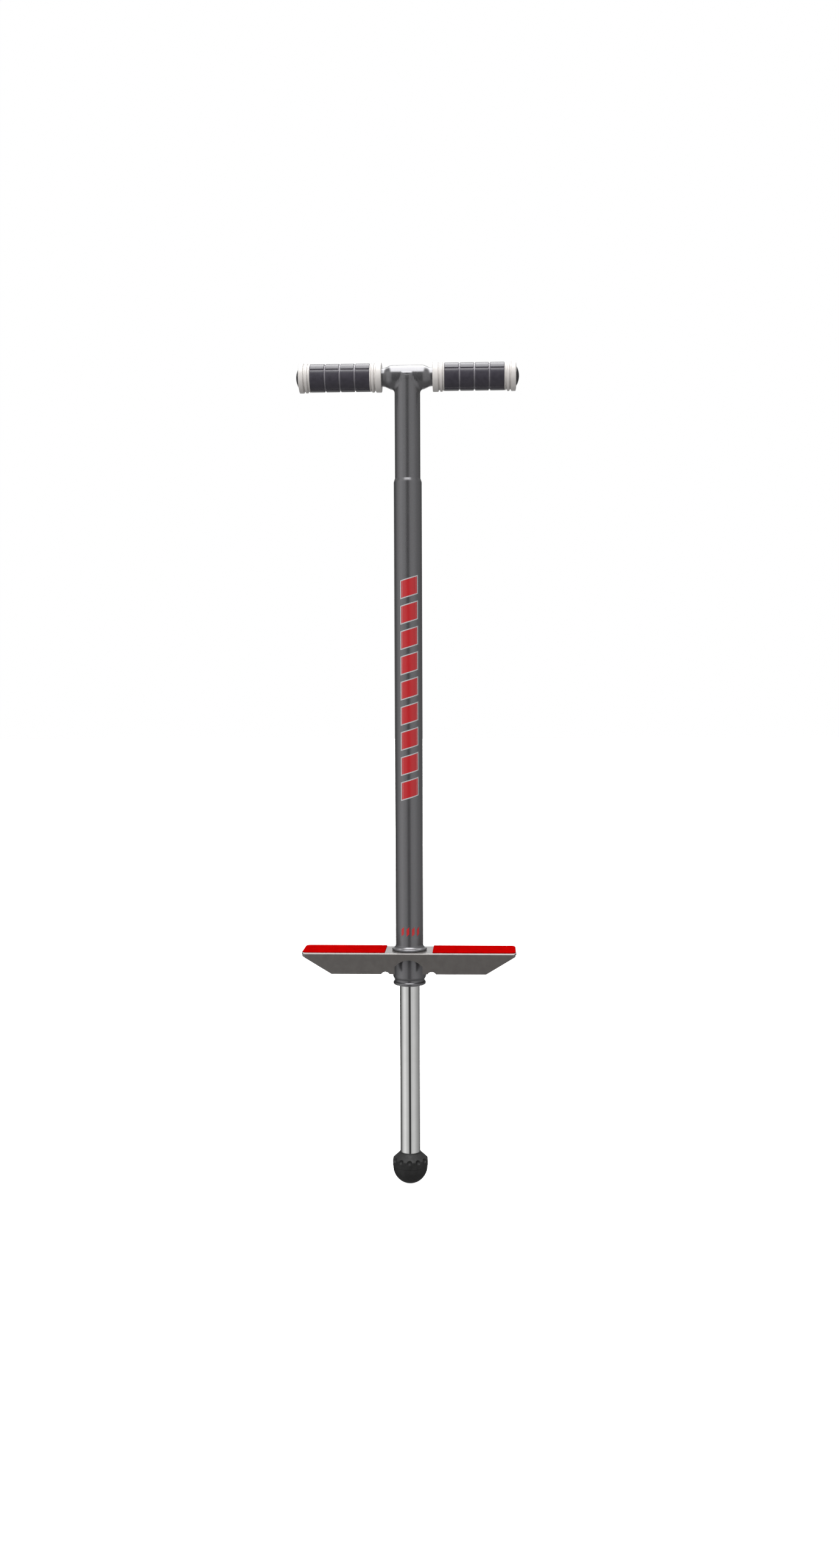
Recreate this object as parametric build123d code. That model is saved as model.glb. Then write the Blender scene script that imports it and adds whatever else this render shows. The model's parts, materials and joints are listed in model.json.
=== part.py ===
from build123d import *

import math
import os

# A spring pogo stick, in millimetres. The origin is the lowest point of the rubber ball tip, +Z is up,
# +X runs along the handlebar to the right grip and -Y is the side that faces away from the rider.

# ---- driving dimensions ----
TUBE_R = 34.925 / 2  # main tube, 1-3/8 in steel
TUBE_WALL = 1.5875
STEM_R = 31.75 / 2  # stem, 1-1/4 in, a slide fit in the main tube
STEM_WALL = 1.65
SHAFT_R = 25.4 / 2  # plunger shaft, 1 in
SHAFT_WALL = 1.65
BAR_R = 14.6  # thick middle of the handlebar
BAR_END_R = 22.2 / 2  # 7/8 in ends, where the grips go
BAR_WALL = 1.8
BAR_STRAIGHT = 18.0  # half length of its thick middle
BAR_NECK = 30.5  # where its ends begin
RUNNING_GAP = 0.08  # radial clearance of the nylon guides

BAR_Z = 1017.0
WELD_LEG = 5.0  # of the bead between stem and handlebar
WELD_LAP = 0.9
WELD_RIM = 1.6  # how far up the bar's side the bead has flared out
WELD_FRONT = 4.0  # above and below the bar's axis, the top of the bead in front
STEM_ARCH = 2.5  # how far the stem's front reaches above the bar's axis

TIP_TOP = 41.4
TIP_R = 22.5
TIP_BAND_BOTTOM = 23.2
TIP_EDGE = 0.6  # how far the band's top edge is rounded in
TIP_STEP = 0.4  # height of the step from ball to band
BALL_R = 22.0
TIP_LIP_R = 13.8  # where the 45 degree shoulder meets the lip round the shaft
TIP_LIP_H = 0.9
SOCKET_Z = 15.5  # bottom of the shaft's socket in the rubber tip
TIP_WASHER_T = 2.5
TIP_WASHER_BORE_R = 3.0
SCOOPS = 12
SCOOP_R = 3.2

SHAFT_TOP = 500.0
CAP_SKIRT = 14.0
CAP_HEAD = 6.0
CAP_PLUG = 22.0
SEAT_T = 2.5
SPIGOT_R = 8.6
SPIGOT_H = 9.0
SPIGOT_GAP = 0.3
LEAD_IN = 1.5  # chamfer on plugs and spigots
EDGE = 0.8  # chamfer on turned parts
COLLAR_Z = 350.0  # middle of the stop collar
COLLAR_H = 14.0
COLLAR_R = 15.0
PIN_R = 2.0
PIN_BORE_R = 1.1
PIN_SHORT = 1.5  # how much shorter the pin is than the collar is wide
PIN_SLOT = 0.5

HOUSING_R = 21.1
HOUSING_BOTTOM = 258.0
BARREL_BOTTOM = 269.5
GROOVE_TOP = 265.6
GROOVE_Z = 264.2
GROOVE_BOTTOM = 262.8
RING_Z = 260.4
RING_LOW = 259.0
LIP_TOP = 264.0
LIP_BORE_R = SHAFT_R + 0.7
GROOVE_R = 19.15
TUBE_BOTTOM = 270.0
BUSHING_TOP = 330.0
BUSHING_FLANGE_R = TUBE_R - 0.25
BUSHING_EDGE = 0.6
BUMPER_R = 15.4
BUMPER_BORE_R = SHAFT_R + 0.5
STOP_GAP = 0.1  # between the bumper and the stop collar with the spring out

PLATE_TOP = 302.0
PLATE_BOTTOM = 275.5
PLATE_T = 2.0
PLATE_HALF_DEPTH = 27.3
PLATE_HALF_LENGTH = 135.0
PLATE_BOTTOM_HALF = 97.0
PLATE_BEND_R = 2.4
PLATE_TIP_H = 3.4
PLATE_CORNER_R = 5.0
ARCH_HALF = 17.45
ARCH_SPRING_Z = 285.0
ARCH_RISE = 8.0
NOTCH_X = 29.1
NOTCH_R = 6.0
NOTCH_DEPTH = 3.0

PAD_INNER = 29.9
PAD_OUTER = 134.2
PAD_HALF_DEPTH = 25.2
PAD_T = 1.3
PAD_OUTER_CORNER_R = 6.0
PAD_INNER_CORNER_R = 1.5
PAD_BEVEL = 0.4

COLLAR_RING_R = 22.2
COLLAR_RING_H = 3.0  # of its rolled lower part
COLLAR_RING_TOP = 309.2

TUBE_TOP = 892.6
ROLL_START = 888.1
ROLL_EDGE = 1.6
ROLL_EDGE_IN = 0.35
ROLL_LIP = 0.25
STEM_BOTTOM = 850.0
STOP_FLANGE = 4.0
STOP_PLUG = 12.0

WIRE_R = 4.5 / 2
COIL_R = 11.5  # mean radius of the main spring
TURNS = 38

GRIP_INNER = 31.6
GRIP_OUTER = 134.3
RING_R = 18.0
RIB_VALLEY_R = 16.3
WIDE_RIB = 7.0
END_RIB = 6.2
MIDDLE_RIB = 3.1
THIN_RIB = 1.5
MIDDLE_RIB_IN = 8.8  # from the grip's inner end to its inner middle rib
MIDDLE_RIB_OUT = 3.3  # from the sleeve's outer end to the outer middle rib
MIDDLE_RIB_R = 17.8
THIN_RIB_R = 17.3
WIDE_RIB_EDGE = 0.9
MIDDLE_RIB_EDGE = 0.8
THIN_RIB_EDGE = 0.4
END_FACE_R = 14.6  # where the core's outer end turns flat
CORE_R = 15.2
SLEEVE_R = 17.0
SLEEVE_INNER = 46.1
SLEEVE_OUTER = 119.8
BLOCK_COLUMNS = 4
BLOCK_ROWS = 4
BLOCK_GROOVE = 1.7
BLOCK_GROOVE_DEPTH = 1.3
BLOCK_EDGE = 0.5
BLOCK_DRAFT = 0.4
BLOCK_ROW_ANGLE = 26.0  # the first lengthwise groove, above the front of the grip

PLUG_HEAD_R = 11.3
PLUG_HEAD_H = 3.6
PLUG_RIM = 0.6
PLUG_SHANK = 17.0


# ---- helpers ----
def spun(points, axis=Axis.Z):
    """A solid of revolution: points are (radius, height along the axis)."""
    if axis == Axis.Z:
        outline = Polyline([(r, 0, h) for r, h in points], close=True)
    else:
        outline = Polyline([(h, 0, r) for r, h in points], close=True)
    return revolve(make_face(outline), axis)


def ring(outer, inner, bottom, top):
    """A plain ring about Z."""
    return spun([(inner, bottom), (outer, bottom), (outer, top), (inner, top)])


def profile_face(*lines):
    """A closed face from profile lines and arcs drawn in the XZ plane."""
    return make_face([edge for line in lines for edge in line.edges()])


def in_xz(u, v):
    """A point of a profile: u along X, v along Z."""
    return (u, 0, v)


# ---- plunger: everything that moves down and up with the shaft ----
def foot_tip():
    """Rubber ball tip: a sphere below, a straight band, a 45 degree shoulder and a round lip at the shaft."""
    cone_top = TIP_TOP - TIP_LIP_H
    cone_foot = cone_top - (TIP_R - TIP_EDGE - TIP_LIP_R)
    diagonal = math.sin(math.pi / 4)
    bottom = ThreePointArc(
        in_xz(0, 0),
        in_xz(BALL_R * diagonal, BALL_R * (1 - diagonal)),
        in_xz(BALL_R, BALL_R),
    )
    step = Polyline(
        [
            in_xz(BALL_R, BALL_R),
            in_xz(BALL_R, TIP_BAND_BOTTOM - TIP_STEP),
            in_xz(TIP_R, TIP_BAND_BOTTOM),
        ]
    )
    band = Line(in_xz(TIP_R, TIP_BAND_BOTTOM), in_xz(TIP_R, cone_foot - TIP_EDGE))
    shoulder = ThreePointArc(
        in_xz(TIP_R, cone_foot - TIP_EDGE),
        in_xz(TIP_R - TIP_EDGE / 4, cone_foot - TIP_EDGE / 3),
        in_xz(TIP_R - TIP_EDGE, cone_foot),
    )
    cone = Line(in_xz(TIP_R - TIP_EDGE, cone_foot), in_xz(TIP_LIP_R, cone_top))
    lip_r = (TIP_LIP_R + SHAFT_R) / 2
    lip = ThreePointArc(
        in_xz(TIP_LIP_R, cone_top),
        in_xz(lip_r + (TIP_LIP_R - lip_r) * diagonal, cone_top + TIP_LIP_H * diagonal),
        in_xz(lip_r, TIP_TOP),
    )
    inside = Polyline(
        [
            in_xz(lip_r, TIP_TOP),
            in_xz(SHAFT_R, TIP_TOP),
            in_xz(SHAFT_R, SOCKET_Z),
            in_xz(0, SOCKET_Z),
            in_xz(0, 0),
        ]
    )
    body = revolve(profile_face(bottom, step, band, shoulder, cone, lip, inside), Axis.Z)
    scoop = Pos(0, -TIP_R, cone_foot) * Sphere(SCOOP_R)
    for i in range(SCOOPS):
        body -= Rot(0, 0, i * 360 / SCOOPS) * scoop
    return body


def tip_washer():
    return ring(SHAFT_R, TIP_WASHER_BORE_R, SOCKET_Z, SOCKET_Z + TIP_WASHER_T)


def cross_pin(radius, length):
    """A pin along Y through the stop collar."""
    return Pos(0, 0, COLLAR_Z) * Rot(90, 0, 0) * Cylinder(radius, length)


def plunger_shaft():
    tube = ring(SHAFT_R, SHAFT_R - SHAFT_WALL, SOCKET_Z + TIP_WASHER_T, SHAFT_TOP)
    return tube - cross_pin(PIN_R, 4 * SHAFT_R)


def stop_collar():
    low = COLLAR_Z - COLLAR_H / 2
    high = COLLAR_Z + COLLAR_H / 2
    body = spun(
        [
            (SHAFT_R, low),
            (COLLAR_R - EDGE, low),
            (COLLAR_R, low + EDGE),
            (COLLAR_R, high - EDGE),
            (COLLAR_R - EDGE, high),
            (SHAFT_R, high),
        ]
    )
    return body - cross_pin(PIN_R, 4 * SHAFT_R)


def stop_pin():
    """Roll pin: a slotted spring tube, shorter than the collar is wide."""
    length = 2 * COLLAR_R - PIN_SHORT
    pin = cross_pin(PIN_R, length) - cross_pin(PIN_BORE_R, length + 2)
    slot = Pos(0, 0, COLLAR_Z + PIN_R) * Box(PIN_SLOT, length + 2, 2 * PIN_R)
    return pin - slot


def plunger_cap():
    """Nylon guide: a skirt round the shaft's end, a head over it, a plug in its bore and a spigot for the spring."""
    guide_r = TUBE_R - TUBE_WALL - RUNNING_GAP
    head_top = SHAFT_TOP + CAP_HEAD
    bore_r = SHAFT_R - SHAFT_WALL
    spigot_top = head_top + SEAT_T + SPIGOT_H
    return spun(
        [
            (0, SHAFT_TOP - CAP_PLUG),
            (bore_r - EDGE, SHAFT_TOP - CAP_PLUG),
            (bore_r, SHAFT_TOP - CAP_PLUG + LEAD_IN),
            (bore_r, SHAFT_TOP),
            (SHAFT_R, SHAFT_TOP),
            (SHAFT_R, SHAFT_TOP - CAP_SKIRT),
            (guide_r - EDGE, SHAFT_TOP - CAP_SKIRT),
            (guide_r, SHAFT_TOP - CAP_SKIRT + EDGE),
            (guide_r, head_top - EDGE),
            (guide_r - EDGE, head_top),
            (SPIGOT_R - SPIGOT_GAP, head_top),
            (SPIGOT_R - SPIGOT_GAP, spigot_top - LEAD_IN),
            (SPIGOT_R - SPIGOT_GAP - LEAD_IN, spigot_top),
            (0, spigot_top),
        ]
    )


# ---- spring seat: turns between the cap and the spring ----
def spring_seat():
    low = SHAFT_TOP + CAP_HEAD
    return ring(COLLAR_R, SPIGOT_R, low, low + SEAT_T)


# ---- frame: everything welded, pressed or pushed on the main tube and the handlebar ----
def main_tube():
    """The tube from the guide housing to its upper end, which is rolled in on the stem."""
    bore = TUBE_R - TUBE_WALL
    return spun(
        [
            (bore, TUBE_BOTTOM),
            (TUBE_R, TUBE_BOTTOM),
            (TUBE_R, ROLL_START),
            (TUBE_R - ROLL_EDGE_IN, ROLL_START + ROLL_EDGE),
            (bore + ROLL_LIP, TUBE_TOP),
            (bore, TUBE_TOP),
        ]
    )


def bar_solid(inset=0.0):
    """The handlebar as a solid of revolution along X, thick in the middle and swaged down to its ends."""
    full = BAR_R - inset
    end = BAR_END_R - inset
    profile = [
        Line((-GRIP_OUTER, 0, 0), (-GRIP_OUTER, 0, end)),
        Line((-GRIP_OUTER, 0, end), (-BAR_NECK, 0, end)),
        Spline((-BAR_NECK, 0, end), (-BAR_STRAIGHT, 0, full), tangents=[(1, 0, 0), (1, 0, 0)]),
        Line((-BAR_STRAIGHT, 0, full), (BAR_STRAIGHT, 0, full)),
        Spline((BAR_STRAIGHT, 0, full), (BAR_NECK, 0, end), tangents=[(1, 0, 0), (1, 0, 0)]),
        Line((BAR_NECK, 0, end), (GRIP_OUTER, 0, end)),
        Line((GRIP_OUTER, 0, end), (GRIP_OUTER, 0, 0)),
        Line((GRIP_OUTER, 0, 0), (-GRIP_OUTER, 0, 0)),
    ]
    return Pos(0, 0, BAR_Z) * revolve(profile_face(*profile), Axis.X)


def handlebar():
    return bar_solid() - bar_solid(BAR_WALL)


def handle_stem():
    """The stem, notched round the handlebar. It is a little wider than the bar, so its wall laps the bar's sides."""
    tube = ring(STEM_R, STEM_R - STEM_WALL, STEM_BOTTOM, BAR_Z + STEM_ARCH)
    return tube - bar_solid()


def handle_weld():
    """Weld bead between the stem and the handlebar: it flares along the bar and laps thinly round its sides."""
    start = BAR_Z - BAR_R - WELD_LEG
    rim = BAR_Z - BAR_R + WELD_RIM
    flare_r = STEM_R + WELD_LEG
    flare_slope = (1, 0, 0.15)
    top = Polyline(
        [
            in_xz(flare_r, rim),
            in_xz(flare_r, BAR_Z - WELD_FRONT),
            in_xz(0, BAR_Z + WELD_FRONT),
            in_xz(0, start),
        ]
    )
    outline = profile_face(
        Line(in_xz(0, start), in_xz(STEM_R, start)),
        Spline(in_xz(STEM_R, start), in_xz(flare_r, rim), tangents=[(0, 0, 1), flare_slope]),
        top,
    )
    lap_r = STEM_R + WELD_LAP
    lap = Pos(0, 0, BAR_Z) * Rot(0, 90, 0) * Cylinder(lap_r, 3 * flare_r)
    lap += Pos(0, 0, BAR_Z - BAR_R) * Box(3 * flare_r, 2 * lap_r, 2 * BAR_R)
    stem_block = Pos(0, 0, BAR_Z) * Cylinder(STEM_R, 4 * flare_r)
    return (revolve(outline, Axis.Z) & lap) - stem_block - bar_solid()


def foot_plate():
    """Bent steel channel: a top with a front and a rear flange, their ends slanted, an arch and two notches in each."""
    outer = Rectangle(2 * PLATE_HALF_DEPTH, PLATE_TOP - PLATE_BOTTOM)
    outer = fillet(outer.vertices().group_by(Axis.Y)[-1], PLATE_BEND_R)
    inner = Pos(0, -PLATE_T) * Rectangle(2 * (PLATE_HALF_DEPTH - PLATE_T), PLATE_TOP - PLATE_BOTTOM)
    inner = fillet(inner.vertices().group_by(Axis.Y)[-1], PLATE_BEND_R - PLATE_T)
    middle = (PLATE_TOP + PLATE_BOTTOM) / 2
    section = Plane.YZ * Pos(0, middle) * (outer - inner)
    channel = extrude(section, PLATE_HALF_LENGTH, both=True)

    side = profile_face(
        Polyline(
            [
                in_xz(-PLATE_HALF_LENGTH, PLATE_TOP),
                in_xz(-PLATE_HALF_LENGTH, PLATE_TOP - PLATE_TIP_H),
                in_xz(-PLATE_BOTTOM_HALF, PLATE_BOTTOM),
                in_xz(PLATE_BOTTOM_HALF, PLATE_BOTTOM),
                in_xz(PLATE_HALF_LENGTH, PLATE_TOP - PLATE_TIP_H),
                in_xz(PLATE_HALF_LENGTH, PLATE_TOP),
            ],
            close=True,
        )
    )
    channel &= extrude(side, PLATE_HALF_DEPTH, both=True)
    plan = RectangleRounded(2 * PLATE_HALF_LENGTH, 2 * PLATE_HALF_DEPTH, PLATE_CORNER_R)
    channel &= Pos(0, 0, PLATE_BOTTOM) * extrude(plan, PLATE_TOP - PLATE_BOTTOM)

    below = PLATE_BOTTOM - 1
    arch = profile_face(
        Polyline(
            [
                in_xz(-ARCH_HALF, ARCH_SPRING_Z),
                in_xz(-ARCH_HALF, below),
                in_xz(ARCH_HALF, below),
                in_xz(ARCH_HALF, ARCH_SPRING_Z),
            ]
        ),
        ThreePointArc(
            in_xz(ARCH_HALF, ARCH_SPRING_Z),
            in_xz(0, ARCH_SPRING_Z + ARCH_RISE),
            in_xz(-ARCH_HALF, ARCH_SPRING_Z),
        ),
    )
    channel -= extrude(arch, PLATE_HALF_DEPTH + 1, both=True)
    notch_z = PLATE_BOTTOM + NOTCH_DEPTH - NOTCH_R
    for side_x in (-NOTCH_X, NOTCH_X):
        channel -= Pos(side_x, 0, notch_z) * Rot(90, 0, 0) * Cylinder(NOTCH_R, 2 * PLATE_HALF_DEPTH + 2)
    channel -= Pos(0, 0, PLATE_TOP) * Cylinder(TUBE_R, 4 * PLATE_T)
    return channel


def tread_pad(side):
    """A red tread pad, glued on the plate's top: round corners at the plate's end, a bevelled edge all round."""
    length = PAD_OUTER - PAD_INNER
    outline = Rectangle(length, 2 * PAD_HALF_DEPTH)
    by_x = outline.vertices().group_by(Axis.X)
    outline = fillet(by_x[-1], PAD_OUTER_CORNER_R)
    outline = fillet(outline.vertices().group_by(Axis.X)[0], PAD_INNER_CORNER_R)
    pad = extrude(outline, PAD_T)
    pad = chamfer(pad.faces().sort_by(Axis.Z)[-1].edges(), PAD_BEVEL)
    pad = Pos((PAD_INNER + PAD_OUTER) / 2, 0, PLATE_TOP) * pad
    return pad if side > 0 else mirror(pad, Plane.YZ)


def plate_collar():
    """Weld ring where the tube stands on the plate: it flares out of the tube and rolls under at the plate."""
    rolled_in = COLLAR_RING_R - COLLAR_RING_H / 3
    half_way = PLATE_TOP + COLLAR_RING_H / 2
    rolled_top = PLATE_TOP + COLLAR_RING_H
    flare = Spline(
        in_xz(rolled_in, rolled_top),
        in_xz(TUBE_R, COLLAR_RING_TOP),
        tangents=[(-1, 0, 0.35), (-0.1, 0, 1)],
    )
    outline = profile_face(
        Line(in_xz(TUBE_R, PLATE_TOP), in_xz(rolled_in, PLATE_TOP)),
        ThreePointArc(in_xz(rolled_in, PLATE_TOP), in_xz(COLLAR_RING_R, half_way), in_xz(rolled_in, rolled_top)),
        flare,
        Line(in_xz(TUBE_R, COLLAR_RING_TOP), in_xz(TUBE_R, PLATE_TOP)),
    )
    return revolve(outline, Axis.Z)


def guide_housing():
    """Collar under the plate that holds the lower bushing: a round-bottomed barrel, a groove and a bottom ring."""
    top = PLATE_TOP - PLATE_T
    groove_edge = GROOVE_R + 0.3
    ring_edge = HOUSING_R - 0.6
    barrel = ThreePointArc(
        in_xz(HOUSING_R, BARREL_BOTTOM),
        in_xz(HOUSING_R - 0.45, (BARREL_BOTTOM + GROOVE_TOP) / 2),
        in_xz(groove_edge, GROOVE_TOP),
    )
    groove = ThreePointArc(
        in_xz(groove_edge, GROOVE_TOP),
        in_xz(GROOVE_R, GROOVE_Z),
        in_xz(groove_edge, GROOVE_BOTTOM),
    )
    bottom_ring = ThreePointArc(
        in_xz(groove_edge, GROOVE_BOTTOM),
        in_xz(HOUSING_R - 0.3, RING_Z),
        in_xz(ring_edge, RING_LOW),
    )
    inside = Polyline(
        [
            in_xz(ring_edge, RING_LOW),
            in_xz(ring_edge - LEAD_IN, HOUSING_BOTTOM),
            in_xz(LIP_BORE_R, HOUSING_BOTTOM),
            in_xz(LIP_BORE_R, LIP_TOP),
            in_xz(TUBE_R, LIP_TOP),
            in_xz(TUBE_R, top),
        ]
    )
    outline = profile_face(
        Line(in_xz(TUBE_R, top), in_xz(HOUSING_R, top)),
        Line(in_xz(HOUSING_R, top), in_xz(HOUSING_R, BARREL_BOTTOM)),
        barrel,
        groove,
        bottom_ring,
        inside,
    )
    return revolve(outline, Axis.Z)


def lower_bushing():
    """Nylon guide: a flange between the housing's lip and the end of the tube, and a long shank in the tube."""
    bore = SHAFT_R + RUNNING_GAP
    shank = TUBE_R - TUBE_WALL
    return spun(
        [
            (bore + BUSHING_EDGE, LIP_TOP),
            (BUSHING_FLANGE_R, LIP_TOP),
            (BUSHING_FLANGE_R, TUBE_BOTTOM),
            (shank, TUBE_BOTTOM),
            (shank, BUSHING_TOP),
            (bore + BUSHING_EDGE, BUSHING_TOP),
            (bore, BUSHING_TOP - BUSHING_EDGE),
            (bore, LIP_TOP + BUSHING_EDGE),
        ]
    )


def rebound_bumper():
    top = COLLAR_Z - COLLAR_H / 2 - STOP_GAP
    return ring(BUMPER_R, BUMPER_BORE_R, BUSHING_TOP, top)


def top_spring_stop():
    """Plug under the stem that the spring pushes on."""
    stem_bore = STEM_R - STEM_WALL
    flange_r = STEM_R - 0.1
    low = STEM_BOTTOM - STOP_FLANGE
    return spun(
        [
            (0, low - SPIGOT_H),
            (SPIGOT_R - SPIGOT_GAP - LEAD_IN, low - SPIGOT_H),
            (SPIGOT_R - SPIGOT_GAP, low - SPIGOT_H + LEAD_IN),
            (SPIGOT_R - SPIGOT_GAP, low),
            (flange_r, low),
            (flange_r, STEM_BOTTOM),
            (stem_bore, STEM_BOTTOM),
            (stem_bore, STEM_BOTTOM + STOP_PLUG - LEAD_IN),
            (stem_bore - EDGE, STEM_BOTTOM + STOP_PLUG),
            (0, STEM_BOTTOM + STOP_PLUG),
        ]
    )


def main_spring():
    """Compression spring with ground ends."""
    low = SHAFT_TOP + CAP_HEAD + SEAT_T
    high = STEM_BOTTOM - STOP_FLANGE
    pitch = (high - low) / TURNS
    path = Helix(pitch, high - low, COIL_R)
    wire_plane = Plane(origin=path @ 0, z_dir=path % 0)
    coil = sweep(wire_plane * Circle(WIRE_R), path, is_frenet=True)
    coil = Pos(0, 0, low) * coil
    kept = Pos(0, 0, (low + high) / 2) * Cylinder(TUBE_R, high - low - 0.1)
    return coil & kept


def grip_core(side):
    """Off-white core on the bar: three ribs at each end and a plain seat between them for the sleeve."""

    def rib(start, width, radius, edge):
        """One rib, from its foot at start to its foot at the other end of its width."""
        return [
            (RIB_VALLEY_R, start),
            (radius - edge, start),
            (radius, start + edge),
            (radius, start + width - edge),
            (radius - edge, start + width),
            (RIB_VALLEY_R, start + width),
        ]

    second = GRIP_INNER + MIDDLE_RIB_IN
    second_last = SLEEVE_OUTER + MIDDLE_RIB_OUT
    points = [(BAR_END_R, GRIP_INNER)]
    points += rib(GRIP_INNER, WIDE_RIB, RING_R, WIDE_RIB_EDGE)[1:]
    points += rib(second, MIDDLE_RIB, MIDDLE_RIB_R, MIDDLE_RIB_EDGE)
    points += rib(SLEEVE_INNER - THIN_RIB, THIN_RIB, THIN_RIB_R, THIN_RIB_EDGE)
    points += [(CORE_R, SLEEVE_INNER), (CORE_R, SLEEVE_OUTER)]
    points += rib(SLEEVE_OUTER, THIN_RIB, THIN_RIB_R, THIN_RIB_EDGE)
    points += rib(second_last, MIDDLE_RIB, MIDDLE_RIB_R, MIDDLE_RIB_EDGE)
    points += rib(GRIP_OUTER - END_RIB, END_RIB, RING_R, WIDE_RIB_EDGE)[:-1]
    points += [(END_FACE_R, GRIP_OUTER), (BAR_END_R, GRIP_OUTER)]
    core = Pos(0, 0, BAR_Z) * spun(points, Axis.X)
    return core if side > 0 else mirror(core, Plane.YZ)


def grip_sleeve(side):
    """Dark sleeve of blocks: grooves round it and along it."""
    length = SLEEVE_OUTER - SLEEVE_INNER
    body = spun(
        [
            (CORE_R, SLEEVE_INNER),
            (SLEEVE_R - BLOCK_EDGE, SLEEVE_INNER),
            (SLEEVE_R, SLEEVE_INNER + BLOCK_EDGE),
            (SLEEVE_R, SLEEVE_OUTER - BLOCK_EDGE),
            (SLEEVE_R - BLOCK_EDGE, SLEEVE_OUTER),
            (CORE_R, SLEEVE_OUTER),
        ],
        Axis.X,
    )
    floor = SLEEVE_R - BLOCK_GROOVE_DEPTH
    for i in range(1, BLOCK_COLUMNS):
        x = SLEEVE_INNER + length * i / BLOCK_COLUMNS
        half = BLOCK_GROOVE / 2
        body -= spun(
            [
                (floor, x - half),
                (SLEEVE_R + 1, x - half - BLOCK_DRAFT),
                (SLEEVE_R + 1, x + half + BLOCK_DRAFT),
                (floor, x + half),
            ],
            Axis.X,
        )
    slot = Pos((SLEEVE_INNER + SLEEVE_OUTER) / 2, 0, (floor + SLEEVE_R + 1) / 2)
    slot *= Box(length + 2, BLOCK_GROOVE, SLEEVE_R + 1 - floor)
    for i in range(BLOCK_ROWS):
        turn = 90 - BLOCK_ROW_ANGLE + i * 360 / BLOCK_ROWS
        body -= Rot(turn, 0, 0) * slot
    body = Pos(0, 0, BAR_Z) * body
    return body if side > 0 else mirror(body, Plane.YZ)


def bar_plug(side):
    """Black end plug: a shank in the bar and a head with a short rim and a spherical dome over the bar's end."""
    bore = BAR_END_R - BAR_WALL
    rim = GRIP_OUTER + PLUG_RIM
    crown = GRIP_OUTER + PLUG_HEAD_H
    rise = crown - rim
    dome_r = (PLUG_HEAD_R**2 + rise**2) / (2 * rise)
    half_angle = math.asin(PLUG_HEAD_R / dome_r) / 2
    on_dome = in_xz(crown - dome_r * (1 - math.cos(half_angle)), dome_r * math.sin(half_angle))
    outline = profile_face(
        Polyline(
            [
                in_xz(crown, 0),
                in_xz(GRIP_OUTER - PLUG_SHANK, 0),
                in_xz(GRIP_OUTER - PLUG_SHANK, bore),
                in_xz(GRIP_OUTER, bore),
                in_xz(GRIP_OUTER, PLUG_HEAD_R),
                in_xz(rim, PLUG_HEAD_R),
            ]
        ),
        ThreePointArc(in_xz(rim, PLUG_HEAD_R), on_dome, in_xz(crown, 0)),
    )
    plug = Pos(0, 0, BAR_Z) * revolve(outline, Axis.X)
    return plug if side > 0 else mirror(plug, Plane.YZ)


PARTS = {
    "foot_tip": foot_tip(),
    "tip_washer": tip_washer(),
    "plunger_shaft": plunger_shaft(),
    "stop_collar": stop_collar(),
    "stop_pin": stop_pin(),
    "plunger_cap": plunger_cap(),
    "spring_seat": spring_seat(),
    "main_spring": main_spring(),
    "top_spring_stop": top_spring_stop(),
    "rebound_bumper": rebound_bumper(),
    "lower_bushing": lower_bushing(),
    "guide_housing": guide_housing(),
    "main_tube": main_tube(),
    "plate_collar": plate_collar(),
    "foot_plate": foot_plate(),
    "tread_pad_left": tread_pad(-1),
    "tread_pad_right": tread_pad(1),
    "handle_stem": handle_stem(),
    "handlebar": handlebar(),
    "handle_weld": handle_weld(),
    "grip_core_left": grip_core(-1),
    "grip_core_right": grip_core(1),
    "grip_sleeve_left": grip_sleeve(-1),
    "grip_sleeve_right": grip_sleeve(1),
    "bar_plug_left": bar_plug(-1),
    "bar_plug_right": bar_plug(1),
}

os.makedirs("parts", exist_ok=True)
for name, shape in PARTS.items():
    export_step(shape, f"parts/{name}.step")
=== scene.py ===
import json
import math

import bpy
from mathutils import Euler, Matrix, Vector


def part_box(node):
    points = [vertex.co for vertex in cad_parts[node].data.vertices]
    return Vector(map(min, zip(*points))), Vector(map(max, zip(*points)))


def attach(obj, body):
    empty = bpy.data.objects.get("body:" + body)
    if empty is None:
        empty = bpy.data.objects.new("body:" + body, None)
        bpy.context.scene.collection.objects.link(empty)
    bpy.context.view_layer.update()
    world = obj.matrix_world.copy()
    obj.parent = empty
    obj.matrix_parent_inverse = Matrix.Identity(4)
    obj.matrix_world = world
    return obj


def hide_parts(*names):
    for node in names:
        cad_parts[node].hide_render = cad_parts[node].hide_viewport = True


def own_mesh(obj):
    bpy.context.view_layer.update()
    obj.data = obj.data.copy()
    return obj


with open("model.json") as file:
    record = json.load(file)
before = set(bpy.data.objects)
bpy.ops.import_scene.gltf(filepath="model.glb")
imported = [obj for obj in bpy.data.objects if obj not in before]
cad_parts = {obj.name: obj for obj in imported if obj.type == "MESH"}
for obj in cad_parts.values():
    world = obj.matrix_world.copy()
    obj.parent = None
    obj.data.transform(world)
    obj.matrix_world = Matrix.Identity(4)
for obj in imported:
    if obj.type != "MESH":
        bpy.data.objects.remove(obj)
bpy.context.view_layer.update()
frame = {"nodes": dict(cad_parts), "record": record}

MM = 0.001


# ---- places, all read from the frame ----
def centre_z(node):
    low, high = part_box(node)
    return (low.z + high.z) / 2


def reach(node, axis):
    """Half the width of a node that is centred on the tube's axis."""
    low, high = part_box(node)
    return (high[axis] - low[axis]) / 2


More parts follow.
